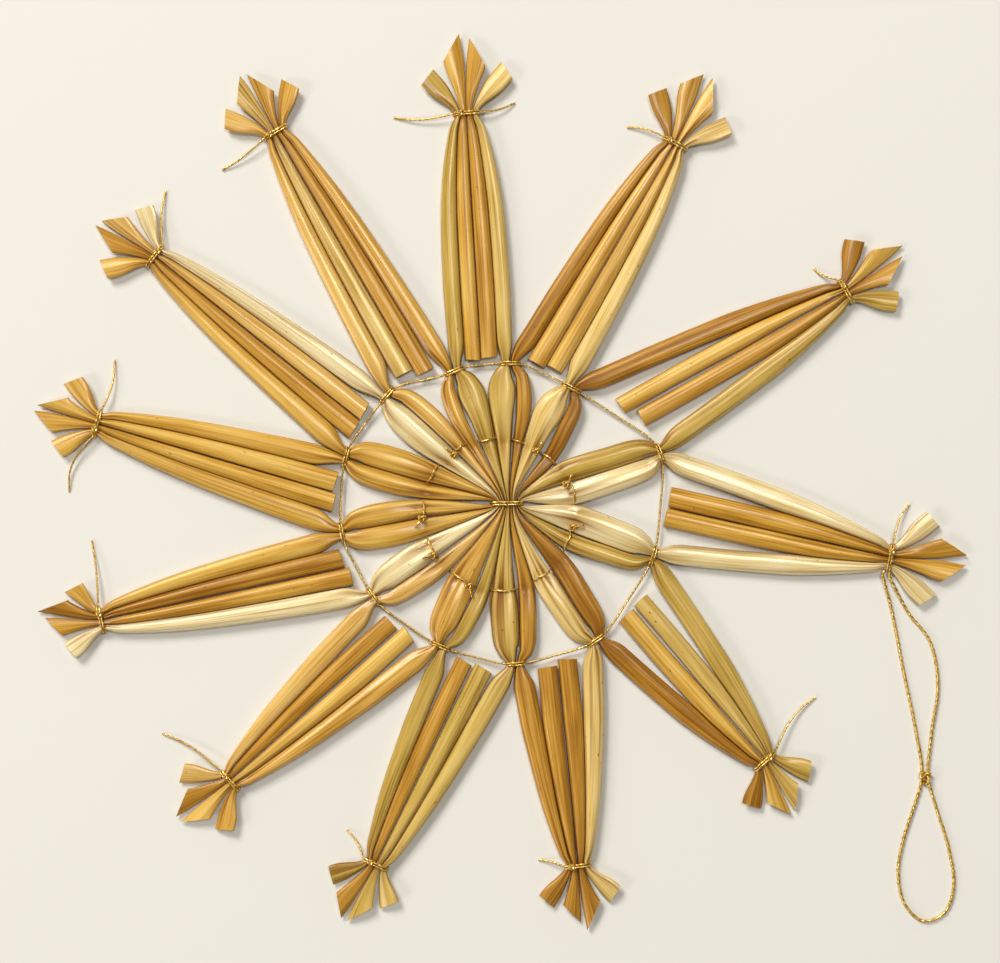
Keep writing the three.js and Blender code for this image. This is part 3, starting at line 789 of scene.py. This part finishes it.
def knot_ring():
    """The thread that ties each petal and runs on, straight, to the next."""
    parts = []
    half_width = KNOT_PITCH + THREAD_THICKNESS / 2
    for petal in range(COUNT):
        turns = winding(knot_of(petal), towards(PETALS[petal].bearing), half_width, KNOT_TURNS)
        parts.append(strand(f"knot_{petal}", turns, THREAD_THICKNESS)[0])
        following = (petal + 1) % COUNT
        start = thread_at_knot(petal, -1)
        end = thread_at_knot(following, 1)
        route = [
            (*mix(knot_of(petal), start, RUN_HOLD), MIDDLE),
            (*mix(start, end, RUN_BEND), MIDDLE + RUN_LIFT),
            (*mix(start, end, 0.5), MIDDLE - RUN_SAG),
            (*mix(start, end, 1 - RUN_BEND), MIDDLE + RUN_LIFT),
            (*mix(knot_of(following), end, RUN_HOLD), MIDDLE),
        ]
        parts.append(strand(f"run_{petal}", route, THREAD_THICKNESS)[0])
    return joined("knot_ring_thread_strand", parts)


def inner_ring(lines):
    """The thread woven over one arm and under the next, round the ring, with small knots on the way."""
    crossings = []
    for line in lines:
        radius = np.linalg.norm(line.places - np.array(RING_CENTRE), axis=1)
        held = np.flatnonzero((radius[:-1] - RING_RADIUS) * (radius[1:] - RING_RADIUS) < 0)
        crossings += [(line.places[i], line.half[i]) for i in held]
    crossings.sort(key=lambda crossing: math.atan2(crossing[0][1], crossing[0][0]))
    route = []
    for i, (at, half) in enumerate(crossings):
        aside = left_of(unit(at))
        height = MIDDLE + (-THREAD_RISE if i % 2 else THREAD_RISE)
        for edge in (-WEAVE_LEVEL, WEAVE_LEVEL):
            place = at + aside * edge * half
            route.append((place[0], place[1], height))
    route.append(route[0])
    parts = [strand("ring", route, THREAD_THICKNESS)[0]]
    for petal in RING_KNOTS:
        outward = towards(PETALS[petal].bearing)
        at = outward * ring_distance(outward)
        top = MIDDLE + THREAD_RISE
        knot = overhand_knot((*at, top + RING_KNOT_LIFT), RING_KNOT_SIZE)
        parts.append(strand(f"ring_knot_{petal}", knot, THREAD_THICKNESS)[0])
        line = towards(PETALS[petal].bearing + RING_END_TURN * vary(petal, "ring end"))
        end = [(*(at + line * reach), top + height) for reach, height in RING_END]
        parts.append(strand(f"ring_end_{petal}", end, THREAD_THICKNESS)[0])
    return joined("inner_ring_thread_strand", parts)


def centre_tie():
    """The thread wound round the middle of the long straws."""
    half_width = COUNT / 2 * CENTRE_PITCH + THREAD_THICKNESS / 2
    route = winding(np.zeros(2), np.array([0, 1.0]), half_width, CENTRE_TURNS)
    return strand("centre_tie_thread", route, THREAD_THICKNESS)[0]


def hanging_loop():
    """The twisted thread that the star hangs by: down to its knot, round the loop and back to the tie."""
    floor = LOOP_DIAMETER / 2 + LOOP_LIFT
    ends = loop_ends()
    route = [(*ends[0], MIDDLE)]
    route += [(x, y, floor) for x, y in LOOP_ROUTE]
    route.append((*ends[1], MIDDLE))
    return strand("hanging_loop_thread", route, LOOP_DIAMETER)


def loop_knot():
    """The knot where the loop's two strands meet, lying on the floor."""
    size = [side / 2 * LOOP_KNOT_FILL for side in LOOP_KNOT_SIZE]
    route = overhand_knot((*LOOP_KNOT_AT, LOOP_KNOT_MIDDLE), size)
    route = [(x, y, max(z, LOOP_KNOT_LOWEST)) for x, y, z in route]
    return strand("hanging_loop_knot", route, LOOP_DIAMETER)[0]


# ---- Finishes ----------------------------------------------------------------------------------------
def linear(colour):
    """An sRGB hex colour as linear light."""
    parts = [int(colour[i:i + 2], 16) / 255 for i in (1, 3, 5)]
    return (*[c / 12.92 if c <= 0.04045 else ((c + 0.055) / 1.055) ** 2.4 for c in parts], 1)


def new_material(name):
    material = bpy.data.materials.new(name)
    material.use_nodes = True
    material.node_tree.nodes.clear()
    return material


def add_node(owner, kind, settings=None, inputs=None):
    """Adds a node to a material or world, and gives each input a value or another node's output."""
    made = owner.node_tree.nodes.new(kind)
    for name, value in (settings or {}).items():
        setattr(made, name, value)
    for name, value in (inputs or {}).items():
        if isinstance(value, bpy.types.NodeSocket):
            owner.node_tree.links.new(value, made.inputs[name])
        else:
            made.inputs[name].default_value = value
    return made


def fill_ramp(ramp, stops):
    elements = ramp.color_ramp.elements
    while len(elements) > 1:
        elements.remove(elements[-1])
    elements[0].position = stops[0][0]
    elements[0].color = linear(stops[0][1])
    for position, colour in stops[1:]:
        elements.new(position).color = linear(colour)


Shade = namedtuple("Shade", "shadow deep body light roughness coat")
SHADES = {
    "golden": Shade("#8c5a12", "#b8842a", "#d5a443", "#e3bf68", 0.34, 0.35),
    "amber": Shade("#744a0c", "#a26e1b", "#c28e34", "#d6a951", 0.38, 0.3),
    "honey": Shade("#946018", "#c39036", "#dbac55", "#eac67d", 0.27, 0.5),
    "green": Shade("#84681e", "#b2943f", "#ceac57", "#ddc27a", 0.34, 0.35),
    "pale": Shade("#92692a", "#c39f4a", "#ddbc6f", "#edd495", 0.3, 0.45),
    "silvery": Shade("#9c7b3c", "#caab65", "#e1c788", "#f5e6ba", 0.2, 0.85),
}
# The painted shade of the creases and sides, and the straw's own darker streaks, share this colour.
CREASE_SHADE_AND_STREAK_COLOUR = "#78420a"
SPECK_COLOUR = "#7a4a1c"
PITH_COLOUR = "#cfa868"
WAX_TINT = "#ffdfa8"
CREASE_SHADE_COVER = 0.85
STREAK_COVER = 0.5
GLOSS_SPREAD = 0.1

# The patterns in the skin, with their size across and along the straw in millimetres, as on real rye:
# ribs of fibre, long streaks, cloudy patches and small specks.
Grain = namedtuple("Grain", "name width length detail roughness shift", defaults=(0.5, (0, 0, 0)))
GRAINS = [
    Grain("fibre", 0.22, 14.0, 3, 0.6),
    Grain("streak", 0.6, 40.0, 2, 0.5, (5.3, 2.1, 0)),
    Grain("cloud", 1.6, 9.0, 2),
    Grain("speck", 0.5, 1.1, 1),
]
FIBRE_RELIEF = 0.05


def rye_straw(name, shade):
    """Rye straw, ripened in the sun and pressed while damp: a waxy skin with a warm satin shine, fine
    lengthwise fibres, painted red-brown shade in its creases, at its sides and beside the threads, and a
    tone that drifts along it and from straw to straw."""
    material = new_material("rye_straw_" + name)
    uv = add_node(material, "ShaderNodeTexCoord").outputs["UV"]
    grain = {}
    for kind in GRAINS:
        place = add_node(material, "ShaderNodeMapping", None, {
            "Vector": uv, "Scale": (1 / kind.width, 1 / kind.length, 1), "Location": kind.shift})
        grain[kind.name] = add_node(material, "ShaderNodeTexNoise", {"noise_dimensions": "2D"}, {
            "Vector": place.outputs[0], "Scale": 1, "Detail": kind.detail,
            "Roughness": kind.roughness}).outputs["Fac"]
    marks = {}
    for kind in ("tone", "pinch", "crease_shade", "inside"):
        marks[kind] = add_node(material, "ShaderNodeAttribute", {"attribute_name": kind}).outputs["Fac"]

    # From dark to light, the skin's tone is the sum of these, each with its weight; the negative weight
    # beside the threads is painted shade.
    level = 0.04
    for source, weight in ((marks["tone"], 0.14), (grain["cloud"], 0.45),
                           (grain["fibre"], 0.65), (marks["pinch"], -0.12)):
        level = add_node(material, "ShaderNodeMath", {"operation": "MULTIPLY_ADD"}, {
            0: source, 1: weight, 2: level}).outputs[0]
    skin = add_node(material, "ShaderNodeValToRGB", None, {"Fac": level})
    fill_ramp(skin, [(0.23, shade.shadow), (0.45, shade.deep), (0.61, shade.body), (0.85, shade.light)])

    # Over the skin lie the painted shade of the creases and sides with the darker streaks, then the specks,
    # then the pith of the bore.
    streaked = add_node(material, "ShaderNodeMapRange", None, {
        "Value": grain["streak"], "From Min": 0.57, "From Max": 0.72, "To Max": STREAK_COVER})
    creased = add_node(material, "ShaderNodeMath", {"operation": "MULTIPLY_ADD"}, {
        0: marks["crease_shade"], 1: CREASE_SHADE_COVER, 2: streaked.outputs[0]})
    specked = add_node(material, "ShaderNodeMapRange", None, {
        "Value": grain["speck"], "From Min": 0.8, "From Max": 0.86})
    colour = skin.outputs[0]
    for cover, tint in ((creased.outputs[0], CREASE_SHADE_AND_STREAK_COLOUR), (specked.outputs[0], SPECK_COLOUR),
                        (marks["inside"], PITH_COLOUR)):
        colour = add_node(material, "ShaderNodeMix", {"data_type": "RGBA"}, {
            0: cover, 6: colour, 7: linear(tint)}).outputs[2]

    gloss = add_node(material, "ShaderNodeMapRange", None, {
        "Value": grain["fibre"], "To Min": shade.roughness - GLOSS_SPREAD,
        "To Max": shade.roughness + GLOSS_SPREAD})
    bump = add_node(material, "ShaderNodeBump", None, {
        "Height": grain["fibre"], "Distance": FIBRE_RELIEF * MM, "Strength": 0.6})
    shader = add_node(material, "ShaderNodeBsdfPrincipled", None, {
        "Base Color": colour, "Roughness": gloss.outputs[0], "IOR": 1.5,
        "Specular Tint": linear(WAX_TINT), "Coat Weight": shade.coat, "Coat Roughness": 0.2,
        "Normal": bump.outputs[0]})
    add_node(material, "ShaderNodeOutputMaterial", None, {"Surface": shader.outputs[0]})
    return material


# The painted glints of the film, in millimetres: about as wide as the film itself.
GLINT_WIDTH = 0.33
GLINT_LENGTH = 0.31
WRAP_RELIEF = 0.03


def metallised_thread():
    """Gold thread: lacquered metal film wound round a core, and two plies twisted; its glitter is painted
    in its colour as pale short dashes, with darker painted shade between them."""
    material = new_material("metallised_gold_thread")
    uv = add_node(material, "ShaderNodeTexCoord").outputs["UV"]
    wrap_place = add_node(material, "ShaderNodeMapping", None, {
        "Vector": uv, "Scale": (1 / GLINT_WIDTH, 1 / GLINT_LENGTH, 1)})
    wrap = add_node(material, "ShaderNodeTexNoise", {"noise_dimensions": "2D"}, {
        "Vector": wrap_place.outputs[0], "Scale": 1, "Detail": 2})
    # Painted glints: pale dashes in the thread's colour, with darker painted shade between them.
    film = add_node(material, "ShaderNodeValToRGB", None, {"Fac": wrap.outputs["Fac"]})
    fill_ramp(film, [(0.32, "#a8761c"), (0.5, "#dcae42"), (0.66, "#fbe6a0")])
    bump = add_node(material, "ShaderNodeBump", None, {
        "Height": wrap.outputs["Fac"], "Distance": WRAP_RELIEF * MM, "Strength": 0.7})
    shader = add_node(material, "ShaderNodeBsdfPrincipled", None, {
        "Base Color": film.outputs[0], "Metallic": 0.7, "Roughness": 0.3, "Normal": bump.outputs[0]})
    add_node(material, "ShaderNodeOutputMaterial", None, {"Surface": shader.outputs[0]})
    return material


def pale_card():
    """Matt white card: an even, pale surface with hardly any shine."""
    material = new_material("pale_card")
    shader = add_node(material, "ShaderNodeBsdfPrincipled", None, {
        "Base Color": linear("#e6e5e1"), "Roughness": 0.9, "Specular IOR Level": 0.2})
    add_node(material, "ShaderNodeOutputMaterial", None, {"Surface": shader.outputs[0]})
    return material


# ---- Camera, light and floor -------------------------------------------------------------------------
VIEW_WIDTH = 0.126
LENS = 100
FLOOR_SIZE = 6
FLOOR_GAP = 0.00002  # below what rests on it
LAMP_COLOUR = "#fffbf2"
ROOM_COLOUR = "#efebe3"
WALL_LIGHT = 0.7
CEILING_LIGHT = 0.09
WALL_END = 14  # degrees above the table
CEILING_START = 26


def camera():
    """Straight above the star, with its top up."""
    data = bpy.data.cameras.new("camera")
    data.lens = LENS
    eye = bpy.data.objects.new("camera", data)
    bpy.context.scene.collection.objects.link(eye)
    middle = (cad_low + cad_high) / 2
    eye.location = (middle.x, middle.y, VIEW_WIDTH * LENS / data.sensor_width)
    bpy.context.scene.camera = eye


def soft_light(name, place, size, power):
    data = bpy.data.lights.new(name, "AREA")
    data.shape = "SQUARE"
    data.size = size
    data.energy = power
    data.color = linear(LAMP_COLOUR)[:3]
    lamp = bpy.data.objects.new(name, data)
    bpy.context.scene.collection.objects.link(lamp)
    lamp.location = place
    lamp.rotation_mode = "QUATERNION"
    lamp.rotation_quaternion = (-Vector(place)).to_track_quat("-Z", "Y")


def room():
    """Pale walls round the table, and a dim ceiling that leaves the straw its contrast."""
    world = bpy.data.worlds.new("room")
    bpy.context.scene.world = world
    world.use_nodes = True
    world.node_tree.nodes.clear()
    direction = add_node(world, "ShaderNodeTexCoord").outputs["Generated"]
    rise = add_node(world, "ShaderNodeSeparateXYZ", None, {"Vector": direction}).outputs["Z"]
    strength = add_node(world, "ShaderNodeMapRange", None, {
        "Value": rise, "From Min": math.sin(math.radians(WALL_END)),
        "From Max": math.sin(math.radians(CEILING_START)), "To Min": WALL_LIGHT, "To Max": CEILING_LIGHT})
    background = add_node(world, "ShaderNodeBackground", None, {
        "Color": linear(ROOM_COLOUR), "Strength": strength.outputs[0]})
    add_node(world, "ShaderNodeOutputWorld", None, {"Surface": background.outputs[0]})


def studio():
    """Soft light from the upper left, shown as it falls, so that the gold of the straw isn't washed out."""
    bpy.context.scene.view_settings.view_transform = "Standard"
    soft_light("key", (-0.6, 0.9, 1.02), 0.54, 18.0)
    soft_light("side", (-1.14, -0.48, 0.78), 0.42, 5.0)
    soft_light("overhead", (0.18, 0.3, 1.5), 0.3, 7.2)
    room()


def floor():
    bpy.ops.object.select_all(action="DESELECT")
    bpy.ops.mesh.primitive_plane_add(size=FLOOR_SIZE, location=(0, 0, -FLOOR_GAP))
    card = bpy.context.object
    card.name = "floor"
    card.data.materials.append(pale_card())


# ---- The star ----------------------------------------------------------------------------------------
def finish_piece(piece, material, node):
    piece.data.materials.clear()
    piece.data.materials.append(material)
    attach(piece, "root")
    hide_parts(node)


camera()
straw_finishes = {name: rye_straw(name, shade) for name, shade in SHADES.items()}
thread_finish = metallised_thread()

long_lines = [StrawLine(f"straw_long_{k + 1:02d}", long_stations(k), k) for k in range(COUNT)]
short_lines = []
for i in range(COUNT * 2):
    stations = short_stations(i // 2, -1 if i % 2 else 1, i)
    short_lines.append(StrawLine(f"straw_short_{i + 1:02d}", stations, i + COUNT))
lines = long_lines + short_lines
for line, shade in zip(lines, LONG_SHADES + SHORT_SHADES):
    line.tone = vary(line.index, "tone")
    line.shade = shade
squeeze(lines)

loop, loop_route = hanging_loop()
finish_piece(loop, thread_finish, "hanging_loop")
knot = loop_knot()
finish_piece(knot, thread_finish, "hanging_loop")

for line in lines:
    finish_piece(straw(line), straw_finishes[line.shade], line.name)
for point in range(COUNT):
    finish_piece(tip_tie(point), thread_finish, f"tip_tie_{point + 1:02d}")
finish_piece(knot_ring(), thread_finish, "knot_ring_thread")
finish_piece(inner_ring(long_lines), thread_finish, "inner_ring_thread")
finish_piece(centre_tie(), thread_finish, "centre_tie")

floor()
studio()
